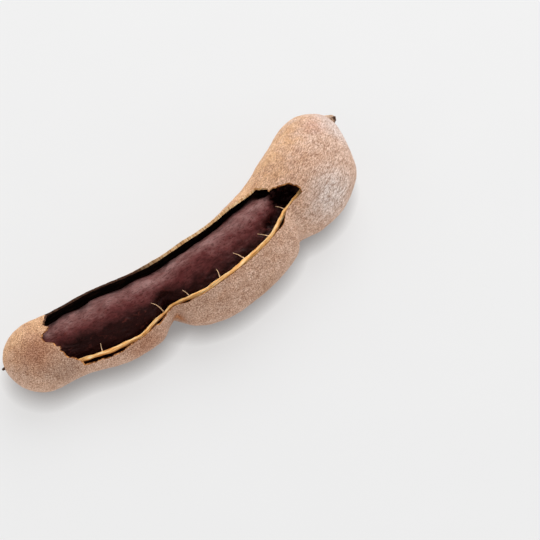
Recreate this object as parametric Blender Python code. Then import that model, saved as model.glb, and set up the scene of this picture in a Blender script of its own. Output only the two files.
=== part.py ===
# A ripe tamarind pod lying on its side with a window broken out of the top of its husk.
#
# The pod is a curved row of four lobes. Every surface is laid out in two numbers: how far
# along the curved middle line a point lies, and its angle round the section, counted from
# the top of the pod and growing toward the convex (outer) side of the bend.
#
# Parts: the brittle husk, the pulp inside it, the fibrous vein with its fine rootlets that
# runs along the pulp, and the short woody stalk.

import math
import random

import bmesh
import bpy
from mathutils import Vector

MM = 0.001

# ----------------------------------------------------------------------------------------
# Driving dimensions, in millimetres and degrees
# ----------------------------------------------------------------------------------------

# Plan of the pod's middle line, tip end first, and the point of it that the origin is under
SPINE = [(-78.0, 24.6), (-56.0, 18.4), (-30.0, 14.0), (0.0, 11.9), (25.5, 17.8), (50.5, 34.0)]
PLAN_CENTRE = (-12.50, 16.45)

# Half-width on the convex side: four lobes with three waists between them
CONVEX = [(0, 10.9), (11, 11.0), (19.5, 10.2), (34, 12.7), (43, 11.9), (49.5, 7.6), (54, 13.0),
          (58, 15.4), (64, 16.6), (80, 15.4), (88, 13.6), (92, 11.0), (99, 14.8), (107, 16.8),
          (114, 16.4), (121, 12.8), (128, 9.2), (135, 7.8)]
# Half-width on the concave side, which is much smoother
CONCAVE = [(0, 10.6), (14, 11.0), (30, 11.9), (46, 10.8), (61, 10.6), (78, 11.4), (90, 12.6),
           (105, 13.0), (118, 12.0), (135, 9.0)]
# Half-height of the section
RISE = [(0, 8.8), (10, 9.3), (19.5, 9.0), (34, 10.2), (49.5, 9.6), (66, 11.6), (80, 11.6),
        (92, 10.8), (107, 12.5), (118, 11.3), (127, 9.4), (135, 7.0)]
# How far the waists and the two ends are held clear of the surface that the pod lies on
LIFT = [(0, 1.2), (10, 0.0), (19.5, 0.6), (34, 0.0), (49.5, 0.8), (68, 0.0), (92, 0.8),
        (109, 0.0), (135, 1.6)]
TIP_ROUNDING = 11.0
STALK_ROUNDING = 12.5
REST_FLAT = 0.50           # depth of the flat that each lobe has worn into its underside

HUSK_WALL = 1.1
HUSK_SECTORS = 28
CAVITY_SECTORS = 22

# Dried style left as a spike on the tip of the pod
STYLE_LENGTH = 1.3
STYLE_RADIUS = 0.55
STYLE_SINK = 1.0

# The broken window: its two long edges as angles, its two ends as distances along the pod
WINDOW_FAR = [(12, -66), (25, -65), (40, -61), (50, -56), (60, -59), (70, -56), (79, -53), (84, -43),
              (92, -34)]
WINDOW_NEAR = [(18, 72), (26, 72), (33, 66), (42, 57), (46, 63), (49.5, 73), (52, 57), (55, 47), (62, 42),
               (75, 39), (84, 37), (91, 31), (98, 25)]
WINDOW_TIP_END = [(-64, 16.0), (-24, 14.3), (-8, 13.2), (0, 12.2), (10, 13.8), (33, 16.0),
                  (56, 18.5), (72, 20.5)]
WINDOW_STALK_END = [(-34, 92.6), (-15, 93.3), (-8, 94.6), (0, 97.0), (10, 99.2), (25, 98.4)]
WINDOW_LENGTHWAYS = 74     # teeth along each long edge
WINDOW_ACROSS = 24         # teeth along each end
WINDOW_JAG = 0.42          # how far the broken teeth stand to either side of the edge
WINDOW_REACH_IN = 3.0
WINDOW_REACH_OUT = 2.0

# Pulp: how far it stands in from the outside of the husk, round the section
PULP_INSET = [(-180, 1.7), (-125, 2.2), (-85, 3.0), (-50, 2.5), (-12, 2.3), (25, 3.9), (62, 4.1),
              (95, 3.2), (130, 2.2), (180, 1.7)]
PULP_END_GAP = 3.4
PULP_SECTORS = 26
PULP_SWELL = 0.35          # seeds show as low swellings one after another
PULP_SWELL_PITCH = 12.5
PULP_CREASE = 0.22         # long shallow creases
PULP_CREASES = 9

# Vein: distance along the pod, distance from the middle line toward the convex side, height
VEIN_PATH = [(14, 6.9, 11.6), (22, 7.7, 12.1), (30, 8.8, 13.2), (37, 9.2, 13.4), (43, 8.1, 13.3),
             (47, 6.1, 12.4), (49.5, 5.5, 12.2), (52, 6.2, 13.4), (55, 7.7, 15.6), (60, 8.9, 17.1), (67, 8.7, 18.3),
             (77, 7.9, 19.1), (84, 7.0, 19.1), (89, 5.5, 18.8), (92, 4.6, 18.7), (97, 4.7, 19.7),
             (103, 5.2, 20.3)]
VEIN_RADIUS = [(14, 0.50), (26, 0.56), (40, 0.62), (50, 0.48), (60, 0.78), (70, 0.88), (80, 0.75),
               (90, 0.60), (97, 0.48), (103, 0.44)]
VEIN_RINGS = 64
VEIN_SIDES = 8

# Rootlets: distance along the pod where each leaves the vein, then how far it runs along the
# pod, across the pulp and up, and the radius at its root
ROOTLETS = [(26.0, 0.6, 2.7, 1.1, 0.26), (47.0, -2.6, 3.0, 3.5, 0.30), (55.0, -1.2, 2.4, 1.5, 0.26),
            (64.3, 1.0, 3.6, 0.8, 0.30), (73.6, -1.8, 4.3, 0.5, 0.30), (83.0, -2.2, 3.2, 0.4, 0.28),
            (87.4, -2.0, 2.6, 0.6, 0.24), (92.6, -1.2, 2.9, 0.7, 0.26)]
ROOTLET_RINGS = 5
ROOTLET_SIDES = 6
ROOTLET_TIP = 0.5          # part of the root's radius that is left at its tip

# Stalk: from inside the end of the pod, out and over toward the convex side
STALK_PATH = [(-2.7, 0.4, -0.3), (-0.9, 0.9, -0.3), (0.1, 1.8, -0.3), (0.6, 3.0, -0.4), (0.8, 4.2, -0.45)]
STALK_RADIUS = [(0, 1.05), (2, 1.25), (3.6, 1.45), (6, 1.3), (8, 1.5)]
STALK_RINGS = 11
STALK_SIDES = 12
STALK_CLEARANCE = 0.3


# ----------------------------------------------------------------------------------------
# Curves
# ----------------------------------------------------------------------------------------

def profile(points, x):
    """Smooth curve through (position, value) points that never overshoots them."""
    if x <= points[0][0]:
        return points[0][1]
    if x >= points[-1][0]:
        return points[-1][1]
    gaps = [b[0] - a[0] for a, b in zip(points, points[1:])]
    slopes = [(b[1] - a[1]) / g for a, b, g in zip(points, points[1:], gaps)]
    tangents = [0.0]
    for k in range(1, len(slopes)):
        if slopes[k - 1] * slopes[k] > 0:
            w1 = 2 * gaps[k] + gaps[k - 1]
            w2 = gaps[k] + 2 * gaps[k - 1]
            tangents.append((w1 + w2) / (w1 / slopes[k - 1] + w2 / slopes[k]))
        else:
            tangents.append(0.0)
    tangents.append(0.0)
    i = 0
    while x > points[i + 1][0]:
        i += 1
    t = (x - points[i][0]) / gaps[i]
    return ((2 * t ** 3 - 3 * t ** 2 + 1) * points[i][1]
            + (t ** 3 - 2 * t ** 2 + t) * gaps[i] * tangents[i]
            + (-2 * t ** 3 + 3 * t ** 2) * points[i + 1][1]
            + (t ** 3 - t ** 2) * gaps[i] * tangents[i + 1])


def through(points, steps):
    """Catmull-Rom curve through points, as a list of Vectors."""
    knots = [Vector(p) for p in points]
    knots = [2 * knots[0] - knots[1]] + knots + [2 * knots[-1] - knots[-2]]
    curve = []
    for i in range(1, len(knots) - 2):
        p0, p1, p2, p3 = knots[i - 1:i + 3]
        for step in range(steps):
            t = step / steps
            curve.append(0.5 * (2 * p1 + (p2 - p0) * t + (2 * p0 - 5 * p1 + 4 * p2 - p3) * t * t
                                + (3 * p1 - p0 - 3 * p2 + p3) * t ** 3))
    curve.append(knots[-2])
    return curve


def running_length(curve):
    total = [0.0]
    for a, b in zip(curve, curve[1:]):
        total.append(total[-1] + (b - a).length)
    return total


SPINE_CURVE = through([(x - PLAN_CENTRE[0], y - PLAN_CENTRE[1]) for x, y in SPINE], 40)
SPINE_RUN = running_length(SPINE_CURVE)
LENGTH = SPINE_RUN[-1]


def along(curve, run, distance):
    """Point at a distance along a curve, carried on straight past its ends."""
    i = 0
    while i < len(run) - 2 and distance > run[i + 1]:
        i += 1
    share = (distance - run[i]) / (run[i + 1] - run[i])
    return curve[i] + (curve[i + 1] - curve[i]) * share


def spine_frame(distance):
    """Point of the middle line, its direction, and the level direction to the convex side."""
    here = along(SPINE_CURVE, SPINE_RUN, distance)
    ahead = along(SPINE_CURVE, SPINE_RUN, distance + 0.5)
    behind = along(SPINE_CURVE, SPINE_RUN, distance - 0.5)
    forward = (ahead - behind).normalized()
    return (Vector((here.x, here.y, 0.0)), Vector((forward.x, forward.y, 0.0)),
            Vector((forward.y, -forward.x, 0.0)))


# ----------------------------------------------------------------------------------------
# The pod's body
# ----------------------------------------------------------------------------------------

def end_rounding(station):
    near_tip = max(0.0, 1.0 - station / TIP_ROUNDING)
    near_stalk = max(0.0, 1.0 - (LENGTH - station) / STALK_ROUNDING)
    return math.sqrt(max(0.0, 1.0 - near_tip ** 2)) * math.sqrt(max(0.0, 1.0 - near_stalk ** 2))


def axis_height(distance):
    return profile(RISE, distance) + profile(LIFT, distance) - REST_FLAT


def pod_point(station, angle, inset=0.0, end_gap=0.0):
    """Point of the pod's surface, or of a surface set in from it, in millimetres."""
    distance = end_gap + station * (LENGTH - 2 * end_gap) / LENGTH
    middle, _, outward = spine_frame(distance)
    size = end_rounding(station)
    half_width = profile(CONVEX if math.sin(angle) > 0 else CONCAVE, distance) - inset
    half_height = profile(RISE, distance) - inset
    point = middle + outward * (half_width * size * math.sin(angle))
    point.z = axis_height(distance) + half_height * size * math.cos(angle)
    return point


def stations(end_rings, middle_rings):
    """Rings crowded round the two ends and evenly spread between them."""
    rings = []
    for k in range(1, end_rings + 1):
        rings.append(TIP_ROUNDING * (1 - math.cos(0.5 * math.pi * k / end_rings)))
    for k in range(1, middle_rings):
        rings.append(TIP_ROUNDING + (LENGTH - TIP_ROUNDING - STALK_ROUNDING) * k / middle_rings)
    for k in range(end_rings, 0, -1):
        rings.append(LENGTH - STALK_ROUNDING * (1 - math.cos(0.5 * math.pi * k / end_rings)))
    return rings


def around(count):
    return [2 * math.pi * k / count for k in range(count)]


# ----------------------------------------------------------------------------------------
# Mesh building
# ----------------------------------------------------------------------------------------

def solid_object(name, points, faces, collection):
    mesh = bpy.data.meshes.new(name)
    mesh.from_pydata([Vector(p) * MM for p in points], [], faces)
    bm = bmesh.new()
    bm.from_mesh(mesh)
    bmesh.ops.recalc_face_normals(bm, faces=bm.faces)
    bm.to_mesh(mesh)
    bm.free()
    made = bpy.data.objects.new(name, mesh)
    collection.objects.link(made)
    return made


def ringed_solid(name, rings, first, last, collection):
    """Closed skin over rings of equal size, drawn to a point past each end."""
    count = len(rings[0])
    points = [p for ring in rings for p in ring] + [first, last]
    top = len(rings) * count
    faces = []
    for i in range(len(rings) - 1):
        for j in range(count):
            k = (j + 1) % count
            faces.append((i * count + j, i * count + k, (i + 1) * count + k, (i + 1) * count + j))
    for j in range(count):
        k = (j + 1) % count
        faces.append((top, k, j))
        faces.append((top + 1, top - count + j, top - count + k))
    return solid_object(name, points, faces, collection)


def swept_rod(name, path, radii, sides, collection):
    """Round rod along a list of points, one radius for each, with low domed ends."""
    rings = []
    side = None
    for i, centre in enumerate(path):
        forward = (path[min(i + 1, len(path) - 1)] - path[max(i - 1, 0)]).normalized()
        start = Vector((0.0, 0.0, 1.0)) if side is None else side
        side = (start - forward * start.dot(forward)).normalized()
        across = forward.cross(side)
        rings.append([centre + (side * math.cos(a) + across * math.sin(a)) * radii[i]
                      for a in around(sides)])
    first = path[0] + (path[0] - path[1]).normalized() * radii[0] * 0.4
    last = path[-1] + (path[-1] - path[-2]).normalized() * radii[-1] * 0.4
    return ringed_solid(name, rings, first, last, collection)


def combine(target, tool, operation):
    modifier = target.modifiers.new(tool.name, "BOOLEAN")
    modifier.operation = operation
    modifier.solver = "EXACT"
    modifier.object = tool


def keep_shape(target):
    """Turns the result of the modifiers into the object's own mesh."""
    graph = bpy.context.evaluated_depsgraph_get()
    finished = bpy.data.meshes.new_from_object(target.evaluated_get(graph))
    target.modifiers.clear()
    target.data = finished


def finish(target, colour, roughness, sharp_degrees):
    material = bpy.data.materials.new(target.name)
    material.use_nodes = True
    shader = material.node_tree.nodes["Principled BSDF"]
    shader.inputs["Base Color"].default_value = (*colour, 1.0)
    shader.inputs["Roughness"].default_value = roughness
    target.data.materials.clear()
    target.data.materials.append(material)
    target.data.shade_smooth()
    target.data.set_sharp_from_angle(angle=math.radians(sharp_degrees))


# ----------------------------------------------------------------------------------------
# Husk
# ----------------------------------------------------------------------------------------

def pod_body(name, sectors, end_rings, middle_rings, inset, collection, rested):
    rings = []
    for station in stations(end_rings, middle_rings):
        ring = [pod_point(station, angle, inset, inset) for angle in around(sectors)]
        if rested:
            for point in ring:
                point.z = max(point.z, 0.0)
        rings.append(ring)
    first = pod_point(0.0, 0.0, inset, inset)
    last = pod_point(LENGTH, 0.0, inset, inset)
    return ringed_solid(name, rings, first, last, collection)


def window_cutter(collection):
    """Curved block that stands through the wall and has a broken edge all round."""
    rng = random.Random(11)
    far_jag = [rng.uniform(-1, 1) for _ in range(WINDOW_LENGTHWAYS + 1)]
    near_jag = [rng.uniform(-1, 1) for _ in range(WINDOW_LENGTHWAYS + 1)]
    tip_jag = [rng.uniform(-1, 1) for _ in range(WINDOW_ACROSS + 1)]
    stalk_jag = [rng.uniform(-1, 1) for _ in range(WINDOW_ACROSS + 1)]
    jag_angle = math.degrees(WINDOW_JAG / 11.0)
    columns = WINDOW_ACROSS + 1

    points = []
    for inset in (WINDOW_REACH_IN, -WINDOW_REACH_OUT):
        for i in range(WINDOW_LENGTHWAYS + 1):
            for j in range(columns):
                u = i / WINDOW_LENGTHWAYS
                v = j / WINDOW_ACROSS
                tip_end = profile(WINDOW_TIP_END, -64 + 136 * v)
                stalk_end = profile(WINDOW_STALK_END, -34 + 59 * v)
                distance = tip_end + (stalk_end - tip_end) * u
                if i == 0:
                    distance += tip_jag[j] * WINDOW_JAG
                if i == WINDOW_LENGTHWAYS:
                    distance += stalk_jag[j] * WINDOW_JAG
                far = profile(WINDOW_FAR, distance)
                near = profile(WINDOW_NEAR, distance)
                angle = far + (near - far) * v
                if j == 0:
                    angle += far_jag[i] * jag_angle
                if j == WINDOW_ACROSS:
                    angle += near_jag[i] * jag_angle
                points.append(pod_point(distance, math.radians(angle), inset))

    layer = (WINDOW_LENGTHWAYS + 1) * columns
    faces = []
    for i in range(WINDOW_LENGTHWAYS):
        for j in range(WINDOW_ACROSS):
            a = i * columns + j
            quad = (a, a + 1, a + columns + 1, a + columns)
            faces.append(quad)
            faces.append(tuple(layer + k for k in reversed(quad)))
    border = [j for j in range(columns)]
    border += [i * columns + WINDOW_ACROSS for i in range(1, WINDOW_LENGTHWAYS + 1)]
    border += [WINDOW_LENGTHWAYS * columns + j for j in range(WINDOW_ACROSS - 1, -1, -1)]
    border += [i * columns for i in range(WINDOW_LENGTHWAYS - 1, 0, -1)]
    for a, b in zip(border, border[1:] + border[:1]):
        faces.append((b, a, layer + a, layer + b))
    return solid_object("window_cutter", points, faces, collection)


def build_husk(parts, tools):
    husk = pod_body("husk", HUSK_SECTORS, 7, 56, 0.0, parts, True)
    cavity = pod_body("cavity", CAVITY_SECTORS, 6, 46, HUSK_WALL, tools, False)
    middle, forward, outward = spine_frame(0.0)
    tip = pod_point(0.0, 0.0)
    style_path = [tip + forward * STYLE_SINK, tip,
                  tip - forward * (0.6 * STYLE_LENGTH) + outward * 0.15,
                  tip - forward * STYLE_LENGTH + outward * 0.35]
    style_radii = [STYLE_RADIUS, STYLE_RADIUS, STYLE_RADIUS * 0.7, STYLE_RADIUS * 0.45]
    style = swept_rod("style", style_path, style_radii, 8, tools)
    socket = stalk_rod("stalk_socket", STALK_CLEARANCE, tools)
    combine(husk, style, "UNION")
    combine(husk, cavity, "DIFFERENCE")
    combine(husk, window_cutter(tools), "DIFFERENCE")
    combine(husk, socket, "DIFFERENCE")
    keep_shape(husk)
    finish(husk, (0.38, 0.24, 0.16), 0.85, 50)


# ----------------------------------------------------------------------------------------
# Pulp
# ----------------------------------------------------------------------------------------

def pulp_point(station, angle):
    degrees = math.degrees(angle)
    if degrees > 180:
        degrees -= 360
    swell = 0.5 - 0.5 * math.cos(2 * math.pi * station / PULP_SWELL_PITCH)
    crease = 0.5 + 0.5 * math.sin(PULP_CREASES * angle + 1.3 * math.sin(station / 9.0))
    inset = profile(PULP_INSET, degrees) + PULP_SWELL * (1 - swell) + PULP_CREASE * crease
    return pod_point(station, angle, inset, PULP_END_GAP)


def build_pulp(parts):
    rings = [[pulp_point(station, angle) for angle in around(PULP_SECTORS)]
             for station in stations(5, 52)]
    first = pod_point(0.0, 0.0, 3.0, PULP_END_GAP)
    last = pod_point(LENGTH, 0.0, 3.0, PULP_END_GAP)
    pulp = ringed_solid("pulp", rings, first, last, parts)
    finish(pulp, (0.09, 0.03, 0.025), 0.5, 60)


# ----------------------------------------------------------------------------------------
# Vein with its rootlets
# ----------------------------------------------------------------------------------------

def vein_point(distance):
    middle, _, outward = spine_frame(distance)
    offset = profile([(s, side) for s, side, _ in VEIN_PATH], distance)
    height = profile([(s, up) for s, _, up in VEIN_PATH], distance)
    return middle + outward * offset + Vector((0.0, 0.0, height))


def build_vein(parts, tools):
    start = VEIN_PATH[0][0]
    end = VEIN_PATH[-1][0]
    distances = [start + (end - start) * k / VEIN_RINGS for k in range(VEIN_RINGS + 1)]
    path = [vein_point(d) for d in distances]
    radii = [profile(VEIN_RADIUS, d) for d in distances]
    vein = swept_rod("vein", path, radii, VEIN_SIDES, parts)
    for number, (root, run, across, up, radius) in enumerate(ROOTLETS):
        _, forward, outward = spine_frame(root)
        base = vein_point(root)
        reach = forward * run - outward * across
        points = [base, base + reach * 0.35 + Vector((0.0, 0.0, 0.62 * up)),
                  base + reach * 0.7 + Vector((0.0, 0.0, 0.95 * up)),
                  base + reach + Vector((0.0, 0.0, up))]
        curve = through(points, 8)
        curve_run = running_length(curve)
        line = [along(curve, curve_run, curve_run[-1] * k / ROOTLET_RINGS)
                for k in range(ROOTLET_RINGS + 1)]
        taper = [radius * (1 - (1 - ROOTLET_TIP) * k / ROOTLET_RINGS)
                 for k in range(ROOTLET_RINGS + 1)]
        rootlet = swept_rod("rootlet_%d" % number, line, taper, ROOTLET_SIDES, tools)
        combine(vein, rootlet, "UNION")
    keep_shape(vein)
    finish(vein, (0.52, 0.25, 0.09), 0.7, 60)


# ----------------------------------------------------------------------------------------
# Stalk
# ----------------------------------------------------------------------------------------

def stalk_rod(name, extra, collection):
    _, forward, outward = spine_frame(LENGTH)
    end = pod_point(LENGTH, 0.0)
    curve = through([end + forward * f + outward * o + Vector((0.0, 0.0, up))
                     for f, o, up in STALK_PATH], 12)
    curve_run = running_length(curve)
    distances = [curve_run[-1] * k / (STALK_RINGS - 1) for k in range(STALK_RINGS)]
    path = [along(curve, curve_run, d) for d in distances]
    radii = [profile(STALK_RADIUS, d) + extra for d in distances]
    return swept_rod(name, path, radii, STALK_SIDES, collection)


def build_stalk(parts):
    stalk = stalk_rod("stalk", 0.0, parts)
    finish(stalk, (0.13, 0.07, 0.04), 0.85, 40)


# ----------------------------------------------------------------------------------------
# Build
# ----------------------------------------------------------------------------------------

def clear_scene():
    for old in list(bpy.data.objects):
        bpy.data.objects.remove(old, do_unlink=True)


def main():
    clear_scene()
    parts = bpy.data.collections.new("tamarind_pod")
    tools = bpy.data.collections.new("shaping_tools")
    bpy.context.scene.collection.children.link(parts)
    bpy.context.scene.collection.children.link(tools)
    build_husk(parts, tools)
    build_pulp(parts)
    build_vein(parts, tools)
    build_stalk(parts)
    for tool in tools.objects:
        tool.hide_render = True
        tool.display_type = "WIRE"


main()
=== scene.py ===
"""Looks of the opened tamarind pod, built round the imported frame.

The pod's surfaces use the same two numbers as the solids: distance along the curved middle
line, and angle round the section from the top, growing toward the convex side of the bend.
Lengths here are in millimetres until a mesh is made.
"""

import math

import bpy
import numpy as np
from mathutils import Matrix, Vector


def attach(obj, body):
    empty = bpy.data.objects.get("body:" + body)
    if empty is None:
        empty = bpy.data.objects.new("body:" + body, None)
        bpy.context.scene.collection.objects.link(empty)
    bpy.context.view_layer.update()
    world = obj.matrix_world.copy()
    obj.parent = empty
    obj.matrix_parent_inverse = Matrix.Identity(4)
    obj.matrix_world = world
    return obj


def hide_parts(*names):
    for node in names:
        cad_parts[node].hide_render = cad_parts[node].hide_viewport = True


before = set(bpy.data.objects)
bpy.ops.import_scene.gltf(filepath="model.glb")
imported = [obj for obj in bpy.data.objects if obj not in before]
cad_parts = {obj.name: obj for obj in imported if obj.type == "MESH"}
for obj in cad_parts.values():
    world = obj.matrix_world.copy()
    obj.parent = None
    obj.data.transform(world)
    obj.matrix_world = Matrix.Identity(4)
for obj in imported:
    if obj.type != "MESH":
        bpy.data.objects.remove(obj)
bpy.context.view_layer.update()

MM = 0.001

# ----------------------------------------------------------------------------------------
# The pod's dimensions. Profiles are (distance along the pod, value) points.
# ----------------------------------------------------------------------------------------

# As in the solids: the middle line in plan, the half widths, the height and the rounded ends
SPINE = [(-78.0, 24.6), (-56.0, 18.4), (-30.0, 14.0), (0.0, 11.9), (25.5, 17.8), (50.5, 34.0)]
PLAN_CENTRE = (-12.50, 16.45)

CONVEX = [(0, 10.9), (11, 11.0), (19.5, 10.2), (34, 12.7), (43, 11.9), (49.5, 7.6), (54, 13.0),
          (58, 15.4), (64, 16.6), (80, 15.4), (88, 13.6), (92, 11.0), (99, 14.8), (107, 16.8),
          (114, 16.4), (121, 12.8), (128, 9.2), (135, 7.8)]
CONCAVE = [(0, 10.6), (14, 11.0), (30, 11.9), (46, 10.8), (61, 10.6), (78, 11.4), (90, 12.6),
           (105, 13.0), (118, 12.0), (135, 9.0)]
RISE = [(0, 8.8), (10, 9.3), (19.5, 9.0), (34, 10.2), (49.5, 9.6), (66, 11.6), (80, 11.6),
        (92, 10.8), (107, 12.5), (118, 11.3), (127, 9.4), (135, 7.0)]
LIFT = [(0, 1.2), (10, 0.0), (19.5, 0.6), (34, 0.0), (49.5, 0.8), (68, 0.0), (92, 0.8),
        (109, 0.0), (135, 1.6)]
TIP_ROUNDING = 11.0
STALK_ROUNDING = 12.5
REST_FLAT = 0.50

# Thinner than in the solids, as the broken edge looks
HUSK_WALL = 0.45            # along the near and end edges of the window
HUSK_WALL_FAR = [(18, 0.55), (42, 0.60), (62, 0.85), (90, 0.85)]        # along its far edge

# Edges of the window: the long ones in degrees from the top, the ends in distance along the pod
WINDOW_FAR = [(12, -66), (25, -65), (40, -61), (50, -56), (60, -59), (70, -56), (79, -53), (84, -43),
              (92, -34)]
WINDOW_NEAR = [(18, 73), (26, 74), (33, 67), (42, 58.5), (46, 61), (49.5, 67.5), (52, 54.5), (55, 45),
               (62, 40.5), (75, 38), (84, 36), (88, 34.5), (91, 31), (98, 25)]
WINDOW_TIP_END = [(-64, 16.0), (-36, 14.9), (-24, 14.0), (-15, 15.1), (-10, 13.9), (-4, 12.3), (4, 11.9),
                  (11, 13.5), (20, 15.2), (33, 15.8), (44, 16.4), (52, 18.2), (64, 19.8), (74, 20.4)]
WINDOW_STALK_END = [(-36, 92.8), (-20, 93.6), (-8, 95.0), (0, 97.2), (8, 98.8), (20, 99.2), (25, 98.4)]

# The pulp, as in the solids: how far inside the pod's surface it lies, by degrees from the top
PULP_INSET = [(-180, 1.7), (-125, 2.2), (-85, 3.0), (-50, 2.5), (-12, 2.3), (25, 3.9), (62, 4.1),
              (95, 3.2), (130, 2.2), (180, 1.7)]
PULP_END_GAP = 3.4
PULP_SWELL = 0.35
PULP_SWELL_PITCH = 12.5

# The vein: distance along the pod, offset to the convex side, height
VEIN_PATH = [(14, 6.9, 11.6), (22, 8.1, 11.9), (30, 9.6, 12.9), (37, 9.8, 13.1), (43, 7.8, 13.1),
             (47, 6.3, 12.3), (49.5, 5.5, 12.2), (52, 6.2, 13.4), (55, 7.7, 15.6), (60, 9.1, 17.1),
             (67, 9.1, 18.2), (77, 8.3, 19.0), (84, 7.2, 19.1), (89, 5.5, 18.8), (92, 4.6, 18.7),
             (97, 4.7, 19.7), (103, 5.2, 20.3)]
VEIN_RADIUS = [(14, 0.50), (26, 0.56), (40, 0.62), (50, 0.48), (60, 0.78), (70, 0.88), (80, 0.75),
               (90, 0.60), (97, 0.48), (103, 0.44)]

# The stalk, as in the solids: from the end of the pod, forward, outward and up
STALK_PATH = [(-2.7, 0.4, -0.3), (-0.9, 0.9, -0.3), (0.1, 1.8, -0.3), (0.6, 3.0, -0.4), (0.8, 4.2, -0.45)]
STALK_RADIUS = [(0, 1.05), (2, 1.25), (3.6, 1.45), (6, 1.3), (8, 1.5)]

# ----------------------------------------------------------------------------------------
# View
# ----------------------------------------------------------------------------------------

VIEW_AZIMUTH = -40.5
VIEW_ELEVATION = 58.0
VIEW_DISTANCE = 442.0
VIEW_TARGET = (-PLAN_CENTRE[0], -PLAN_CENTRE[1], 11.0)
VIEW_LENS = 100.0
SENSOR_WIDTH = 36.0


def look_from(target, azimuth, elevation, distance):
    """Placement of a camera or light that stands off in a direction and faces the target."""
    a = math.radians(azimuth)
    e = math.radians(elevation)
    back = Vector((math.sin(a) * math.cos(e), -math.cos(a) * math.cos(e), math.sin(e)))
    right = Vector((math.cos(a), math.sin(a), 0.0))
    matrix = Matrix((right, back.cross(right), back)).transposed().to_4x4()
    matrix.translation = (Vector(target) + back * distance) * MM
    return matrix


camera_data = bpy.data.cameras.new("camera")
camera_data.lens = VIEW_LENS
camera_data.sensor_width = SENSOR_WIDTH
camera_data.clip_start = 0.01
camera_data.clip_end = 20.0
camera = bpy.data.objects.new("camera", camera_data)
bpy.context.scene.collection.objects.link(camera)
camera.matrix_world = look_from(VIEW_TARGET, VIEW_AZIMUTH, VIEW_ELEVATION, VIEW_DISTANCE)
bpy.context.scene.camera = camera


# ----------------------------------------------------------------------------------------
# Curves and noise on arrays
# ----------------------------------------------------------------------------------------

def profile(points, x):
    """Smooth curve through (position, value) points that never overshoots them."""
    at = np.array([p[0] for p in points], float)
    value = np.array([p[1] for p in points], float)
    gap = np.diff(at)
    slope = np.diff(value) / gap
    tangent = np.zeros(len(at))
    for k in range(1, len(at) - 1):
        if slope[k - 1] * slope[k] > 0:
            w1 = 2 * gap[k] + gap[k - 1]
            w2 = gap[k] + 2 * gap[k - 1]
            tangent[k] = (w1 + w2) / (w1 / slope[k - 1] + w2 / slope[k])
    x = np.clip(np.asarray(x, float), at[0], at[-1])
    i = np.clip(np.searchsorted(at, x) - 1, 0, len(gap) - 1)
    t = (x - at[i]) / gap[i]
    return ((2 * t ** 3 - 3 * t ** 2 + 1) * value[i] + (t ** 3 - 2 * t ** 2 + t) * gap[i] * tangent[i]
            + (-2 * t ** 3 + 3 * t ** 2) * value[i + 1] + (t ** 3 - t ** 2) * gap[i] * tangent[i + 1])


def through(points, steps):
    """Catmull-Rom curve through points of any dimension."""
    knots = np.array(points, float)
    knots = np.vstack([2 * knots[0] - knots[1], knots, 2 * knots[-1] - knots[-2]])
    t = (np.arange(steps) / steps)[:, None]
    runs = []
    for i in range(1, len(knots) - 2):
        p0, p1, p2, p3 = knots[i - 1:i + 3]
        runs.append(0.5 * (2 * p1 + (p2 - p0) * t + (2 * p0 - 5 * p1 + 4 * p2 - p3) * t * t
                           + (3 * p1 - p0 - 3 * p2 + p3) * t ** 3))
    return np.vstack(runs + [knots[-2:-1]])


def running_length(curve):
    """Distance of each of a curve's points from its start, measured along it."""
    return np.concatenate([[0.0], np.cumsum(np.linalg.norm(np.diff(curve, axis=0), axis=1))])


def along(curve, run, distance):
    """Points at distances along a curve, carried on straight past its ends."""
    distance = np.asarray(distance, float)
    i = np.clip(np.searchsorted(run, distance, side="right") - 1, 0, len(run) - 2)
    share = (distance - run[i]) / (run[i + 1] - run[i])
    return curve[i] + (curve[i + 1] - curve[i]) * share[..., None]


SPINE_CURVE = through([(x - PLAN_CENTRE[0], y - PLAN_CENTRE[1]) for x, y in SPINE], 40)
SPINE_RUN = running_length(SPINE_CURVE)
LENGTH = SPINE_RUN[-1]


def spine_frame(distance):
    """Points of the middle line, its direction, and the level direction to the convex side."""
    distance = np.asarray(distance, float)
    here = along(SPINE_CURVE, SPINE_RUN, distance)
    forward = along(SPINE_CURVE, SPINE_RUN, distance + 0.5) - along(SPINE_CURVE, SPINE_RUN, distance - 0.5)
    forward = forward / np.linalg.norm(forward, axis=-1, keepdims=True)
    level = np.zeros(here.shape[:-1] + (1,))
    outward = np.stack([forward[..., 1], -forward[..., 0]], -1)
    return (np.concatenate([here, level], -1), np.concatenate([forward, level], -1),
            np.concatenate([outward, level], -1))


_TABLE = np.random.default_rng(5).permutation(256)
_TABLE = np.concatenate([_TABLE, _TABLE, _TABLE])
_SLANT = np.random.default_rng(6).normal(size=(256, 3))
_SLANT = _SLANT / np.linalg.norm(_SLANT, axis=1, keepdims=True)


def noise(points, size, seed=0.0):
    """Gradient noise, about -1 to 1, with features of a given size."""
    q = np.asarray(points, float) / size + np.array([17.3, 5.9, 31.1]) * (seed + 1.0)
    cell = np.floor(q).astype(int)
    f = q - cell
    ease = f * f * f * (f * (f * 6 - 15) + 10)
    total = np.zeros(q.shape[:-1])
    for dx in (0, 1):
        for dy in (0, 1):
            for dz in (0, 1):
                corner = cell + np.array([dx, dy, dz])
                pick = _TABLE[(_TABLE[(_TABLE[corner[..., 0] & 255] + corner[..., 1]) & 255]
                               + corner[..., 2]) & 255]
                slant = _SLANT[pick]
                away = f - np.array([dx, dy, dz])
                weight = (np.where(dx, ease[..., 0], 1 - ease[..., 0])
                          * np.where(dy, ease[..., 1], 1 - ease[..., 1])
                          * np.where(dz, ease[..., 2], 1 - ease[..., 2]))
                total = total + weight * (slant * away).sum(-1)
    return total * 1.6


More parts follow.
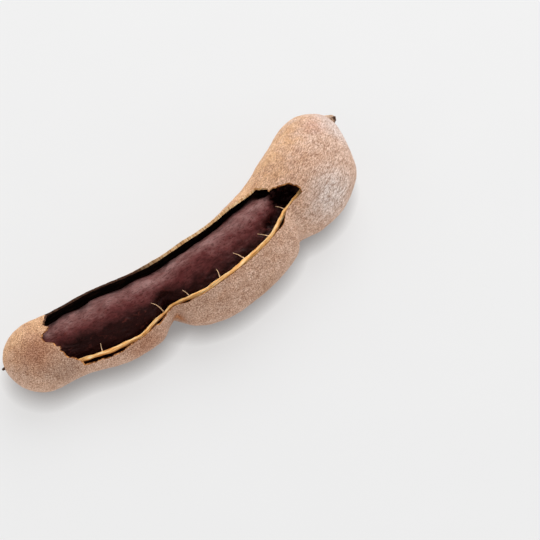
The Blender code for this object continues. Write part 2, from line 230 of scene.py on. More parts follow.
def ridges(points, size, seed=0.0):
    """Sharp crests on a smooth ground, 0 to 1."""
    return 1.0 - np.abs(noise(points, size, seed)).clip(0, 1)


def shake(points, size, *seeds):
    """A small unsteady shift for each point, one seed for each direction."""
    return np.stack([noise(points, size, seed) for seed in seeds], -1)


# ----------------------------------------------------------------------------------------
# The pod's body
# ----------------------------------------------------------------------------------------

def end_rounding(station):
    """Share of the full section that is left near the rounded ends."""
    near_tip = np.maximum(0.0, 1.0 - station / TIP_ROUNDING)
    near_stalk = np.maximum(0.0, 1.0 - (LENGTH - station) / STALK_ROUNDING)
    return (np.sqrt(np.maximum(0.0, 1.0 - near_tip ** 2))
            * np.sqrt(np.maximum(0.0, 1.0 - near_stalk ** 2)))


def pod_point(station, angle, inset=0.0, end_gap=0.0):
    """A point of the pod's surface, or of one that lies some way inside it."""
    station, angle, inset = np.broadcast_arrays(np.asarray(station, float), angle, inset)
    distance = end_gap + station * (LENGTH - 2 * end_gap) / LENGTH
    middle, _, outward = spine_frame(distance)
    size = end_rounding(station)
    half_width = np.where(np.sin(angle) > 0, profile(CONVEX, distance), profile(CONCAVE, distance)) - inset
    half_height = profile(RISE, distance) - inset
    point = middle + outward * (half_width * size * np.sin(angle))[..., None]
    point[..., 2] = (profile(RISE, distance) + profile(LIFT, distance) - REST_FLAT
                     + half_height * size * np.cos(angle))
    return point


def stations(end_rings, middle_rings):
    """Where the rings stand along the pod, crowded where the ends are round."""
    turn = 0.5 * np.pi * np.arange(1, end_rings + 1) / end_rings
    tip = TIP_ROUNDING * (1 - np.cos(turn))
    straight = LENGTH - TIP_ROUNDING - STALK_ROUNDING
    middle = TIP_ROUNDING + straight * np.arange(1, middle_rings) / middle_rings
    stalk = LENGTH - STALK_ROUNDING * (1 - np.cos(turn[::-1]))
    return np.concatenate([tip, middle, stalk])


def surface_normals(place, station, angle, inset=0.0, end_gap=0.0):
    """Outward directions of a mapped surface, from small steps along and round it."""
    ds = 0.05
    da = 0.01
    low = np.clip(station - ds, 0.0, LENGTH)
    high = np.clip(station + ds, 0.0, LENGTH)
    step_s = place(high, angle, inset, end_gap) - place(low, angle, inset, end_gap)
    step_a = place(station, angle + da, inset, end_gap) - place(station, angle - da, inset, end_gap)
    normal = np.cross(step_a, step_s)
    length = np.linalg.norm(normal, axis=-1, keepdims=True)
    return normal / np.maximum(length, 1e-9)


def degrees_from_top(angle):
    """Angle round the section in degrees, -180 to 180."""
    return np.degrees((angle + np.pi) % (2 * np.pi) - np.pi)


def grown_place(station, angle):
    """A surface place in the pod's own grown space: as if its middle line were pulled straight."""
    half_width = np.where(np.sin(angle) > 0, profile(CONVEX, station), profile(CONCAVE, station))
    size = end_rounding(np.asarray(station, float))
    return np.stack(np.broadcast_arrays(station, half_width * size * np.sin(angle),
                                        profile(RISE, station) * size * np.cos(angle)), -1)


# ----------------------------------------------------------------------------------------
# Mesh building
# ----------------------------------------------------------------------------------------

def make_piece(name, points, faces, materials, slots=None, smooth=True, **stored):
    """A mesh object from points in millimetres; stored values are kept on its points by name."""
    mesh = bpy.data.meshes.new(name)
    mesh.from_pydata((np.asarray(points) * MM).tolist(), [], faces)
    for material in materials:
        mesh.materials.append(material)
    if slots is not None:
        mesh.polygons.foreach_set("material_index", slots)
    mesh.polygons.foreach_set("use_smooth", [smooth] * len(mesh.polygons))
    for key, values in stored.items():
        values = np.asarray(values, np.float32)
        if values.ndim == 1:
            mesh.attributes.new(key, "FLOAT", "POINT").data.foreach_set("value", values)
        else:
            mesh.attributes.new(key, "FLOAT_VECTOR", "POINT").data.foreach_set("vector", values.ravel())
    mesh.update()
    made = bpy.data.objects.new(name, mesh)
    bpy.context.scene.collection.objects.link(made)
    return made


def grid_triangles(rows, columns, first, last):
    """Triangles of a closed ring grid with a point at each end, as one array."""
    i = np.arange(rows - 1)[:, None]
    j = np.arange(columns)[None, :]
    k = (j + 1) % columns
    a = i * columns + j
    b = i * columns + k
    c = (i + 1) * columns + k
    d = (i + 1) * columns + j
    flip = ((i + j) % 2).astype(bool)
    one = np.where(flip[..., None], np.stack([a, b, d], -1), np.stack([a, b, c], -1))
    two = np.where(flip[..., None], np.stack([b, c, d], -1), np.stack([a, c, d], -1))
    j = np.arange(columns)
    k = (j + 1) % columns
    tip = np.stack([np.full(columns, first), k, j], -1)
    end = np.stack([np.full(columns, last), (rows - 1) * columns + j, (rows - 1) * columns + k], -1)
    return np.vstack([one.reshape(-1, 3), two.reshape(-1, 3), tip, end])


ROD_DOME = 0.35            # how far a rod's end bulges, as a share of its radius


def rod(path, radii, sides, shape=None):
    """Rings round a path, with shape(turn, run) scaling each radius. Gives the points, the faces,
    the points' places in the rod's grown space, and their share of the way along it."""
    path = np.asarray(path, float)
    count = len(path)
    ahead = path[np.minimum(np.arange(count) + 1, count - 1)]
    behind = path[np.maximum(np.arange(count) - 1, 0)]
    forward = ahead - behind
    forward /= np.linalg.norm(forward, axis=1, keepdims=True)
    run = running_length(path)
    turn = 2 * np.pi * np.arange(sides) / sides
    side = np.array([0.0, 0.0, 1.0])
    rings = []
    grown = []
    for i in range(count):
        side = side - forward[i] * side.dot(forward[i])
        side /= np.linalg.norm(side)
        across = np.cross(forward[i], side)
        size = np.full(sides, radii[i])
        if shape is not None:
            size = size * shape(turn, run[i])
        spoke = side * np.cos(turn)[:, None] + across * np.sin(turn)[:, None]
        rings.append(path[i] + spoke * size[:, None])
        grown.append(np.stack([np.full(sides, run[i]), size * np.sin(turn), size * np.cos(turn)], -1))
    ends = np.stack([path[0] - forward[0] * radii[0] * ROD_DOME,
                     path[-1] + forward[-1] * radii[-1] * ROD_DOME])
    grown_ends = np.array([[0.0, 0.0, 0.0], [run[-1], 0.0, 0.0]])
    points = np.vstack(rings + [ends])
    grown = np.vstack(grown + [grown_ends])
    faces = grid_triangles(count, sides, count * sides, count * sides + 1)
    return points, faces, grown, grown[:, 0] / run[-1]


def joined(rods):
    """Several rods as one set of arrays."""
    start = 0
    faces = []
    for points, triangles, _, _ in rods:
        faces.append(triangles + start)
        start += len(points)
    points, _, grown, share = zip(*rods)
    return np.vstack(points), np.vstack(faces), np.vstack(grown), np.concatenate(share)


# ----------------------------------------------------------------------------------------
# Materials
# ----------------------------------------------------------------------------------------

PATCH_RAGGEDNESS = 0.35    # how far a patch's outline wanders, as a share of its reach


class Shade:
    """A material's node tree. Textures lie in the piece's own grown space, in millimetres: the
    first axis runs along the piece, the other two across it."""

    def __init__(self, name, roughness, specular):
        self.material = bpy.data.materials.new(name)
        self.material.use_nodes = True
        self.tree = self.material.node_tree
        self.shader = self.tree.nodes["Principled BSDF"]
        self.shader.inputs["Roughness"].default_value = roughness
        self.shader.inputs["Specular IOR Level"].default_value = specular
        self.space = self.attribute("grown", "Vector")

    def link(self, source, target):
        self.tree.links.new(source, target)

    def attribute(self, name, output="Fac"):
        """A value that make_piece stored on the mesh."""
        node = self.tree.nodes.new("ShaderNodeAttribute")
        node.attribute_name = name
        return node.outputs[output]

    def drawn_out(self, times):
        """The grown space with everything in it so many times longer along the piece."""
        node = self.tree.nodes.new("ShaderNodeMapping")
        node.inputs["Scale"].default_value = (1.0 / times, 1.0, 1.0)
        self.link(self.space, node.inputs["Vector"])
        return node.outputs["Vector"]

    def noise(self, size, detail=2.0, rough=0.5, distortion=0.0, space=None, output="Fac"):
        """Cloudy variation with features of a size in millimetres."""
        node = self.tree.nodes.new("ShaderNodeTexNoise")
        node.inputs["Scale"].default_value = 1.0 / size
        node.inputs["Detail"].default_value = detail
        node.inputs["Roughness"].default_value = rough
        node.inputs["Distortion"].default_value = distortion
        self.link(self.space if space is None else space, node.inputs["Vector"])
        return node.outputs[output]

    def cells(self, size):
        """Distance to the nearest edge of a net of irregular cells."""
        node = self.tree.nodes.new("ShaderNodeTexVoronoi")
        node.feature = "DISTANCE_TO_EDGE"
        node.inputs["Scale"].default_value = 1.0 / size
        self.link(self.space, node.inputs["Vector"])
        return node.outputs["Distance"]

    def span(self, value, low, high, out_low=0.0, out_high=1.0):
        """The value's range from low to high stretched to another range, and held beyond it."""
        node = self.tree.nodes.new("ShaderNodeMapRange")
        node.inputs["From Min"].default_value = low
        node.inputs["From Max"].default_value = high
        node.inputs["To Min"].default_value = out_low
        node.inputs["To Max"].default_value = out_high
        self.link(value, node.inputs["Value"])
        return node.outputs["Result"]

    def ramp(self, value, *stops):
        """Colours at (value, colour) stops, blended between them."""
        node = self.tree.nodes.new("ShaderNodeValToRGB")
        band = node.color_ramp
        while len(band.elements) < len(stops):
            band.elements.new(1.0)
        for element, (place, colour) in zip(band.elements, stops):
            element.position = place
            element.color = (*colour, 1.0)
        self.link(value, node.inputs["Fac"])
        return node.outputs["Color"]

    def mix(self, factor, first, second, blend="MIX"):
        """The first colour blended toward the second by a factor, a value or a plain number."""
        node = self.tree.nodes.new("ShaderNodeMix")
        node.data_type = "RGBA"
        node.blend_type = blend
        if isinstance(factor, float):
            node.inputs["Factor"].default_value = factor
        else:
            self.link(factor, node.inputs["Factor"])
        self.link(first, node.inputs["A"])
        if isinstance(second, tuple):
            node.inputs["B"].default_value = (*second, 1.0)
        else:
            self.link(second, node.inputs["B"])
        return node.outputs["Result"]

    def shaded(self, colour, value, *stops):
        """The colour darkened by a ramp of tints over a value."""
        return self.mix(1.0, colour, self.ramp(value, *stops), "MULTIPLY")

    def maths(self, kind, first, second):
        node = self.tree.nodes.new("ShaderNodeMath")
        node.operation = kind
        self.link(first, node.inputs[0])
        if isinstance(second, float):
            node.inputs[1].default_value = second
        else:
            self.link(second, node.inputs[1])
        return node.outputs["Value"]

    def patch(self, centre, reach, strength):
        """Strength at a place in the grown space, fading to nothing at a ragged distance."""
        rough = self.tree.nodes.new("ShaderNodeVectorMath")
        rough.operation = "MULTIPLY_ADD"
        self.link(self.noise(reach * 0.6, 4.0, 0.65, output="Color"), rough.inputs[0])
        ragged = PATCH_RAGGEDNESS * reach
        rough.inputs[1].default_value = (ragged,) * 3
        self.link(self.space, rough.inputs[2])
        away = self.tree.nodes.new("ShaderNodeVectorMath")
        away.operation = "DISTANCE"
        self.link(rough.outputs["Vector"], away.inputs[0])
        away.inputs[1].default_value = tuple(c + ragged * 0.5 for c in centre)
        return self.span(away.outputs["Value"], 0.25 * reach, reach, strength, 0.0)

    def colour(self, value):
        self.link(value, self.shader.inputs["Base Color"])

    def roughness(self, value):
        self.link(value, self.shader.inputs["Roughness"])

    def bump(self, height, depth, strength=1.0, under=None):
        """Fine relief of a depth in millimetres, laid over what is under it."""
        node = self.tree.nodes.new("ShaderNodeBump")
        node.inputs["Strength"].default_value = strength
        node.inputs["Distance"].default_value = depth * MM
        self.link(height, node.inputs["Height"])
        if under is not None:
            self.link(under, node.inputs["Normal"])
        self.link(node.outputs["Normal"], self.shader.inputs["Normal"])
        return node.outputs["Normal"]

    def sheen(self, weight, roughness, tint):
        self.shader.inputs["Sheen Weight"].default_value = weight
        self.shader.inputs["Sheen Roughness"].default_value = roughness
        self.shader.inputs["Sheen Tint"].default_value = (*tint, 1.0)


# Stains and powdery places on the rind: station, degrees from the top, reach, strength, colour
RIND_PATCHES = [(9.0, 18, 7.5, 0.65, (0.46, 0.19, 0.11)),
                (38.0, 80, 8.0, 0.60, (0.52, 0.23, 0.12)),
                (50.4, 101, 3.0, 0.85, (0.62, 0.25, 0.08)),
                (75.0, 92, 6.0, 0.50, (0.56, 0.34, 0.21)),
                (109.0, 18, 6.0, 0.35, (0.66, 0.40, 0.27)),
                (122.0, 2, 5.5, 0.45, (0.80, 0.45, 0.36)),
                (126.0, 46, 8.5, 0.80, (1.0, 0.90, 0.87)),
                (103.5, 56, 10.0, 0.85, (1.0, 0.90, 0.86)),
                (14.5, 66, 7.0, 0.60, (0.44, 0.29, 0.22))]


def husk_skin_material():
    """Dry scurfy rind: tan toward the hollow of the bend, powdery mauve on its outer side."""
    s = Shade("husk_skin", 0.9, 0.15)
    drift = s.noise(8.0, 4.0, 0.6)
    place = s.maths("ADD", s.attribute("along"), s.span(drift, 0.3, 0.7, -0.08, 0.08))
    ground = s.ramp(place, (0.0, (0.92, 0.58, 0.38)), (0.2, (0.86, 0.55, 0.38)),
                    (0.45, (0.68, 0.40, 0.26)), (0.7, (0.92, 0.61, 0.44)),
                    (0.88, (0.98, 0.72, 0.58)), (1.0, (1.0, 0.82, 0.76)))
    side = s.maths("ADD", s.attribute("side"), s.span(s.noise(5.0, 4.0, 0.65), 0.3, 0.7, -0.4, 0.4))
    ground = s.mix(s.span(side, 0.1, 0.9, 0.0, 0.55), ground, (0.78, 0.59, 0.49))
    ground = s.mix(s.span(side, 0.1, -0.8, 0.0, 0.75), ground, (1.0, 0.63, 0.34))
    for station, degrees, reach, strength, colour in RIND_PATCHES:
        centre = grown_place(station, math.radians(degrees))
        ground = s.mix(s.patch(centre, reach, strength), ground, colour)
    mottle = s.noise(2.2, 3.0, 0.6)
    ground = s.shaded(ground, mottle, (0.34, (0.82, 0.75, 0.70)), (0.58, (1.0, 1.0, 1.0)))

    streaks = s.noise(0.33, 2.0, 0.55, 0.0, s.drawn_out(3.2))
    grain = s.noise(0.38, 2.0, 0.6)
    granules = s.cells(0.62)
    grain = s.mix(s.span(place, 0.64, 0.72), grain, streaks)
    grain = s.mix(s.span(side, -0.3, -1.2, 0.0, 0.35), grain, (0.54, 0.54, 0.54))
    ground = s.shaded(ground, grain, (0.36, (0.48, 0.40, 0.35)), (0.50, (0.82, 0.79, 0.77)),
                      (0.62, (1.0, 1.0, 1.0)))
    ground = s.shaded(ground, granules, (0.0, (0.66, 0.58, 0.52)), (0.16, (1.0, 1.0, 1.0)))
    s.colour(ground)
    s.sheen(0.22, 0.45, (1.0, 0.86, 0.76))
    under = s.bump(mottle, 0.25, 0.5)
    under = s.bump(grain, 0.12, 0.8, under)
    s.bump(s.span(granules, 0.0, 0.3), 0.08, 0.7, under)
    return s.material


def husk_lining_material():
    """Inside of the rind: near-black in the hollow of the bend, partly pulp stain and partly painted shade
    under the far rim; maroon, stained by the pulp, opposite.
    """
    s = Shade("husk_lining", 0.8, 0.2)
    streaks = s.noise(1.1, 4.0, 0.6, 0.3, s.drawn_out(4.0))
    # Near-black: partly pulp stain, partly painted shade for the far wall in shadow under the rim
    stain_and_painted_shade = s.ramp(streaks, (0.35, (0.008, 0.003, 0.002)), (0.55, (0.030, 0.010, 0.007)),
                   (0.7, (0.11, 0.045, 0.028)))
    maroon = s.ramp(streaks, (0.3, (0.16, 0.026, 0.012)), (0.55, (0.34, 0.070, 0.032)),
                    (0.8, (0.60, 0.20, 0.09)))
    s.colour(s.mix(s.span(s.attribute("side"), 0.1, 0.7), stain_and_painted_shade, maroon))
    s.bump(streaks, 0.25, 0.8)
    return s.material


def husk_edge_material():
    """Broken edge: dry tan fibre along the hollow side of the bend, pulp-stained elsewhere."""
    s = Shade("husk_edge", 0.85, 0.2)
    crumbs = s.noise(0.9, 3.0, 0.65)
    nicks = s.noise(2.4, 3.0, 0.65, 0.0, s.drawn_out(0.2))
    clean = s.ramp(nicks, (0.32, (0.34, 0.15, 0.05)), (0.46, (0.84, 0.50, 0.23)),
                   (0.64, (1.0, 0.74, 0.44)))
    clean = s.mix(s.span(s.attribute("along"), 0.44, 0.34), clean, (0.085, 0.036, 0.020))
    stained = s.ramp(crumbs, (0.36, (0.07, 0.018, 0.008)), (0.50, (0.34, 0.125, 0.035)),
                     (0.64, (0.70, 0.33, 0.11)))
    dry = s.maths("ADD", s.attribute("side"), s.span(s.noise(3.0), 0.3, 0.7, -0.2, 0.2))
    s.colour(s.mix(s.span(dry, -0.2, -0.62), stained, clean))
    s.bump(crumbs, 0.25, 0.8)
    return s.material


def pulp_material():
    """Sticky dark paste with a satin gloss. Its colour holds painted light: a paler mauve on the upper far
    side that is partly a painted satin highlight, and near-black painted shade low down along the fibre,
    on the far edge under the rim and in the hollows.
    """
    s = Shade("pulp", 0.5, 0.14)
    s.shader.inputs["Specular Tint"].default_value = (1.0, 0.60, 0.55, 1.0)
    broad = s.noise(5.5, 4.0, 0.6, 0.6)
    fine = s.noise(0.55, 3.0, 0.65, 0.4, s.drawn_out(2.2))
    # Paler mauve ground, left on the upper far side: partly a dried paler bloom, partly a painted satin
    # highlight
    ground = s.ramp(broad, (0.32, (0.145, 0.050, 0.045)), (0.5, (0.225, 0.100, 0.092)),
                    (0.68, (0.305, 0.160, 0.148)))
    side = s.maths("ADD", s.attribute("side"), s.span(s.noise(4.5, 3.0, 0.6), 0.3, 0.7, -0.16, 0.16))
    ground = s.mix(s.span(side, -0.32, 0.06, 0.0, 0.80), ground, (0.120, 0.019, 0.020))
    # Painted shade: near-black low on the near side, in the recess along the fibre
    ground = s.mix(s.span(side, 0.00, 0.46, 0.0, 0.96), ground, (0.008, 0.001, 0.001))
    # Painted shadow: near-black on the far side, where the rim shades the paste
    ground = s.mix(s.span(side, -0.48, -0.84, 0.0, 0.96), ground, (0.010, 0.003, 0.003))
    ground = s.mix(s.span(fine, 0.50, 0.36, 0.0, 0.6), ground, (0.030, 0.005, 0.004))
    # Painted shade: the hollows darkened to near-black by their depth
    ground = s.mix(s.span(s.attribute("sunken"), 0.15, 0.8), ground, (0.006, 0.001, 0.001))
    red = s.noise(1.7, 3.0, 0.6, 0.5)
    ground = s.mix(s.span(red, 0.58, 0.72, 0.0, 0.35), ground, (0.17, 0.035, 0.026))
    s.colour(ground)
    s.roughness(s.span(broad, 0.3, 0.7, 0.48, 0.34))
    under = s.bump(broad, 0.5, 0.4)
    under = s.bump(red, 0.28, 0.8, under)
    s.bump(fine, 0.16, 0.9, under)
    return s.material


def vein_material():
    """Dry orange fibre, paler on the strands and darker between them, with painted shade on its lower,
    near side.
    """
    s = Shade("vein", 0.6, 0.35)
    strands = s.noise(0.45, 3.0, 0.6, 0.3, s.drawn_out(6.0))
    broad = s.noise(3.0, 3.0, 0.6)
    ground = s.ramp(strands, (0.30, (0.62, 0.22, 0.045)), (0.48, (0.96, 0.50, 0.15)),
                    (0.68, (1.0, 0.76, 0.42)))
    ground = s.mix(s.span(broad, 0.56, 0.75, 0.0, 0.5), ground, (0.80, 0.33, 0.07))
    # Painted shade: the strand darkened on its lower side, toward the near side of the pod
    painted_shade_side = s.maths("ADD", s.attribute("low"), s.span(strands, 0.3, 0.7, 0.12, -0.12))
    ground = s.mix(s.span(painted_shade_side, 0.50, 0.85, 0.0, 0.85), ground, (0.55, 0.19, 0.035))
    s.colour(ground)
    s.bump(strands, 0.12, 0.8)
    return s.material


def rootlet_material():
    """Hair-like fibres, cream where they dry out."""
    s = Shade("rootlets", 0.6, 0.3)
    tone = s.noise(0.8, 2.0, 0.5)
    s.colour(s.ramp(tone, (0.3, (0.55, 0.31, 0.15)), (0.6, (0.80, 0.54, 0.32)),
                    (0.8, (0.92, 0.70, 0.48))))
    s.bump(tone, 0.05, 0.5)
    return s.material


def stalk_material():
    """Weathered wood, pale where it leaves the pod and dark at its broken end."""
    s = Shade("stalk", 0.85, 0.25)
    streaks = s.noise(0.6, 4.0, 0.65, 0.4, s.drawn_out(3.0))
    pale = s.ramp(streaks, (0.32, (0.30, 0.18, 0.11)), (0.52, (0.58, 0.39, 0.27)),
                  (0.74, (0.76, 0.58, 0.45)))
    dark = s.ramp(streaks, (0.32, (0.035, 0.017, 0.010)), (0.6, (0.12, 0.06, 0.035)),
                  (0.8, (0.26, 0.15, 0.09)))
    burnt = s.maths("ADD", s.attribute("along"), s.span(s.noise(1.2), 0.3, 0.7, -0.16, 0.16))
    s.colour(s.mix(s.span(burnt, 0.82, 0.96), pale, dark))
    s.bump(streaks, 0.3, 0.9)
    return s.material


def floor_material():
    """Plain pale ground with painted light: it glows, as a light table does, and glows less close under
    the pod, which paints its contact shadow.
    """
    s = Shade("floor", 0.9, 0.0)
    grain = s.noise(30.0, 2.0, 0.5)
    s.colour(s.ramp(grain, (0.3, (0.260, 0.260, 0.260)), (0.7, (0.265, 0.265, 0.265))))
    s.shader.inputs["Emission Color"].default_value = (1.0, 1.0, 1.0, 1.0)
    # Painted contact shadow: the glow is dimmed where the pod is close
    nearby = s.tree.nodes.new("ShaderNodeAmbientOcclusion")
    nearby.inputs["Distance"].default_value = CONTACT_REACH * MM
    glow = s.span(nearby.outputs["AO"], 0.35, 1.0, 0.35 * FLOOR_GLOW, FLOOR_GLOW)
    s.link(glow, s.shader.inputs["Emission Strength"])
    return s.material


# ----------------------------------------------------------------------------------------
# Husk
# ----------------------------------------------------------------------------------------

HUSK_END_RINGS = 34
HUSK_MIDDLE_RINGS = 410
HUSK_COLUMNS = 120
HUSK_CROWDING = 0.3        # how much closer the columns stand on top than underneath
WAIST_CREASE = (50.0, 0.9, 0.45)        # station, half width, depth
CUT_MARGIN = 0.02          # keeps the window's cut off the net's own points, against slivers
LINING_ROUGHNESS = 0.10
LINING_LIFT = 0.25         # least height of the lining over the surface the pod lies on
EDGE_ROUGHNESS = 0.14
SHARP_ANGLE = 60           # degrees between faces that show as a hard edge
SECTION_RADIUS = 11.5      # round number that turns degrees into millimetres on the rind


def window_depth(distance, angle):
    """How far inside the window's ragged outline a point lies, in millimetres."""
    degrees = np.degrees(angle)
    radius = SECTION_RADIUS * np.pi / 180
    far = (degrees - profile(WINDOW_FAR, distance)) * radius
    near = (profile(WINDOW_NEAR, distance) - degrees) * radius
    tip = distance - profile(WINDOW_TIP_END, degrees)
    stalk = profile(WINDOW_STALK_END, degrees) - distance
    flat = np.stack([distance, degrees * radius, np.zeros_like(distance)], -1)
    nicks = 0.26 * noise(flat, 0.75, 1)
    teeth = 0.42 * noise(flat, 1.5, 2) * (0.6 + 0.8 * noise(flat, 9.0, 3)) + 0.12 * noise(flat, 1.1, 9)
    bites = 0.42 * noise(flat, 4.0, 4)
    far = far + nicks + 0.8 * teeth
    calm = 1.0 - 0.70 * np.clip((distance - 47.0) / 4.0, 0.0, 1.0)
    near = near + calm * (0.9 * nicks + 1.2 * teeth + bites)
    tip = tip + 1.5 * nicks + 1.6 * teeth + 0.5 * bites
    stalk = stalk + 1.2 * nicks + 1.3 * teeth + 0.4 * bites
    depth = np.minimum(np.minimum(far, near), np.minimum(tip, stalk))
    inward = np.clip((95.2 - distance) / 2.6, 0.0, 1.0)
    half_tooth = 0.62 * (1.0 - inward)
    splinter = np.abs((degrees + 12.5 - 1.5 * inward) * radius) - half_tooth
    return np.where((distance > 92.6) & (distance < 95.5), np.minimum(depth, splinter), depth)


def husk_relief(points, station, angle):
    """Height of the rind over its even shape, with the sharp crease of the waist."""
    crease = np.exp(-((station - WAIST_CREASE[0]) / WAIST_CREASE[1]) ** 2)
    crease = WAIST_CREASE[2] * crease * np.clip((np.sin(angle) - 0.5) / 0.35, 0.0, 1.0)
    broad = 0.17 * noise(points, 11.0, 11) + 0.09 * noise(points, 5.0, 12)
    pebbles = 0.060 * noise(points, 1.9, 13) + 0.050 * noise(points, 1.05, 14)
    return broad + pebbles, crease


def cut_triangles(depth, faces, station, angle):
    """Keeps the part of a triangle net where depth is below 0, cutting the ones it crosses."""
    station = list(station)
    angle = list(angle)
    inside = depth[faces] > 0
    count = inside.sum(1)
    kept = [tuple(f) for f in faces[count == 0].tolist()]
    made = {}

    def crossing(a, b):
        key = (a, b) if a < b else (b, a)
        if key not in made:
            p, q = key
            share = depth[p] / (depth[p] - depth[q])
            turn_q = angle[q]
            if turn_q - angle[p] > math.pi:
                turn_q -= 2 * math.pi
            if angle[p] - turn_q > math.pi:
                turn_q += 2 * math.pi
            made[key] = len(station)
            station.append(station[p] + (station[q] - station[p]) * share)
            angle.append(angle[p] + (turn_q - angle[p]) * share)
        return made[key]

    crossed = (count == 1) | (count == 2)
    for face, within in zip(faces[crossed].tolist(), inside[crossed].tolist()):
        if sum(within) == 1:
            k = within.index(True)
            a, b, c = face[k], face[(k + 1) % 3], face[(k + 2) % 3]
            ab = crossing(a, b)
            kept.append((ab, b, c))
            kept.append((ab, c, crossing(a, c)))
        else:
            k = within.index(False)
            a, b, c = face[k], face[(k + 1) % 3], face[(k + 2) % 3]
            kept.append((a, crossing(a, b), crossing(a, c)))
    return np.array(kept), np.array(station), np.array(angle)


def largest_part(faces, count):
    """The triangles that hang together with most of the others."""
    group = np.arange(count)
    while True:
        lowest = group[faces].min(1)
        before = group.copy()
        for k in range(3):
            np.minimum.at(group, faces[:, k], lowest)
        group = group[group]
        if (group == before).all():
            break
    names, sizes = np.unique(group[faces[:, 0]], return_counts=True)
    return faces[group[faces[:, 0]] == names[sizes.argmax()]]


def open_edges(faces):
    """Directed edges that only one triangle uses."""
    seen = set()
    for a, b, c in faces.tolist():
        seen.update(((a, b), (b, c), (c, a)))
    return sorted(edge for edge in seen if (edge[1], edge[0]) not in seen)


def build_husk():
    """The rind with its window: an outer skin, a lining, and a broken edge that joins them."""
    rows = stations(HUSK_END_RINGS, HUSK_MIDDLE_RINGS)
    turns = 2 * np.pi * np.arange(HUSK_COLUMNS) / HUSK_COLUMNS - np.pi
    turns = turns - HUSK_CROWDING * np.sin(turns)
    station = np.concatenate([np.repeat(rows, HUSK_COLUMNS), [0.0, LENGTH]])
    angle = np.concatenate([np.tile(turns, len(rows)), [0.0, 0.0]])
    ends = len(rows) * HUSK_COLUMNS
    faces = grid_triangles(len(rows), HUSK_COLUMNS, ends, ends + 1)
    depth = window_depth(station, angle)
    depth = np.where(np.abs(depth) < CUT_MARGIN, np.where(depth > 0, CUT_MARGIN, -CUT_MARGIN), depth)
    faces, station, angle = cut_triangles(depth, faces, station, angle)
    faces = largest_part(faces, len(station))
    used, faces = np.unique(faces, return_inverse=True)
    faces = faces.reshape(-1, 3)
    station = station[used]
    angle = angle[used]

    outer = pod_point(station, angle)
    normals = surface_normals(pod_point, station, angle)
    normals[station <= 0.0] = -spine_frame(0.0)[1]
    normals[station >= LENGTH] = spine_frame(LENGTH)[1]
    relief, crease = husk_relief(outer, station, angle)
    outer = outer + normals * (relief - crease)[:, None]
    outer[:, 2] = np.maximum(outer[:, 2], 0.0)
    side = np.sin(angle)
    thicker = profile(HUSK_WALL_FAR, station) - HUSK_WALL
    wall = HUSK_WALL + thicker * np.clip((-side - 0.25) / 0.4, 0.0, 1.0)
    inner = pod_point(station, angle, wall, HUSK_WALL)
    inner = inner + normals * (LINING_ROUGHNESS * noise(inner, 2.2, 15) - crease)[:, None]
    inner[:, 2] = np.maximum(inner[:, 2], LINING_LIFT)

    edges = open_edges(faces)
    ring = sorted({v for edge in edges for v in edge})
    place = {v: k for k, v in enumerate(ring)}
    count = len(station)
    middle = 0.5 * (outer[ring] + inner[ring])
    middle = middle + EDGE_ROUGHNESS * shake(middle, 0.7, 21, 22, 23)
    points = np.vstack([outer, inner, middle])
    skin = faces.tolist()
    lining = (faces[:, ::-1] + count).tolist()
    edge_faces = []
    for a, b in edges:
        am = 2 * count + place[a]
        bm = 2 * count + place[b]
        edge_faces.append((b, a, am, bm))
        edge_faces.append((bm, am, a + count, b + count))
    slots = [0] * len(skin) + [1] * len(lining) + [2] * len(edge_faces)
    grown = grown_place(station, angle)
    husk = make_piece("husk_rind", points, skin + lining + edge_faces,
                      [husk_skin_material(), husk_lining_material(), husk_edge_material()], slots,
                      grown=np.vstack([grown, grown, grown[ring]]),
                      along=np.concatenate([station, station, station[ring]]) / LENGTH,
                      side=np.concatenate([side, side, side[ring]]))
    husk.data.set_sharp_from_angle(angle=math.radians(SHARP_ANGLE))
    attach(husk, "root")
    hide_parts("husk")


STYLE_RADII = (0.52, 0.30)             # where it leaves the pod, and at its tip


def build_style():
    """Dried style, a dark stub on the tip of the pod."""
    _, forward, outward = spine_frame(0.0)
    tip = pod_point(0.0, 0.0)
    path = through([tip + forward * 0.9, tip, tip - forward * 0.45 + outward * 0.1,
                    tip - forward * 0.85 + outward * 0.3], 8)
    radii = np.linspace(*STYLE_RADII, len(path))

    def bark(turn, at):
        return 1 + 0.14 * np.sin(3 * turn + at * 2)

    points, faces, grown, _ = rod(path, radii, 14, bark)
    style = make_piece("style_tip", points, faces.tolist(), [stalk_material()], grown=grown,
                       along=np.ones(len(points)))
    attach(style, "root")


# ----------------------------------------------------------------------------------------
# Pulp
# ----------------------------------------------------------------------------------------

PULP_END_RINGS = 24
PULP_MIDDLE_RINGS = 380
PULP_COLUMNS = 150

# Sunken places in the paste: station, degrees from the top, length, width, depth
PULP_HOLLOWS = [(98.5, 8, 4.6, 4.2, 3.4), (97.0, -34, 4.2, 3.0, 2.4), (89.0, 24, 3.4, 1.8, 1.6),
                (83.5, 27, 2.2, 1.4, 0.7), (48.5, 44, 6.0, 2.0, 0.35), (20.0, 34, 5.0, 3.0, 0.8),
                (33.0, 46, 6.0, 2.4, 0.6)]


HOLLOW_RADIUS = 9.5        # turns degrees into millimetres on the pulp
RELIEF_LIMIT = 0.33        # highest that lumps and folds stand over the even shape
# The darkness of the pulp's hollows is painted shade
SUNKEN_FULL = 1.6          # depth at which a hollow is as dark as it gets


def pulp_surface(station, angle, _, end_gap):
    """A point of the pulp before its relief. The inset is the pulp's own, so none is taken."""
    swell = 0.5 - 0.5 * np.cos(2 * np.pi * station / PULP_SWELL_PITCH)
    depth = profile(PULP_INSET, degrees_from_top(angle)) + PULP_SWELL * (1 - swell)
    return pod_point(station, angle, depth, end_gap)


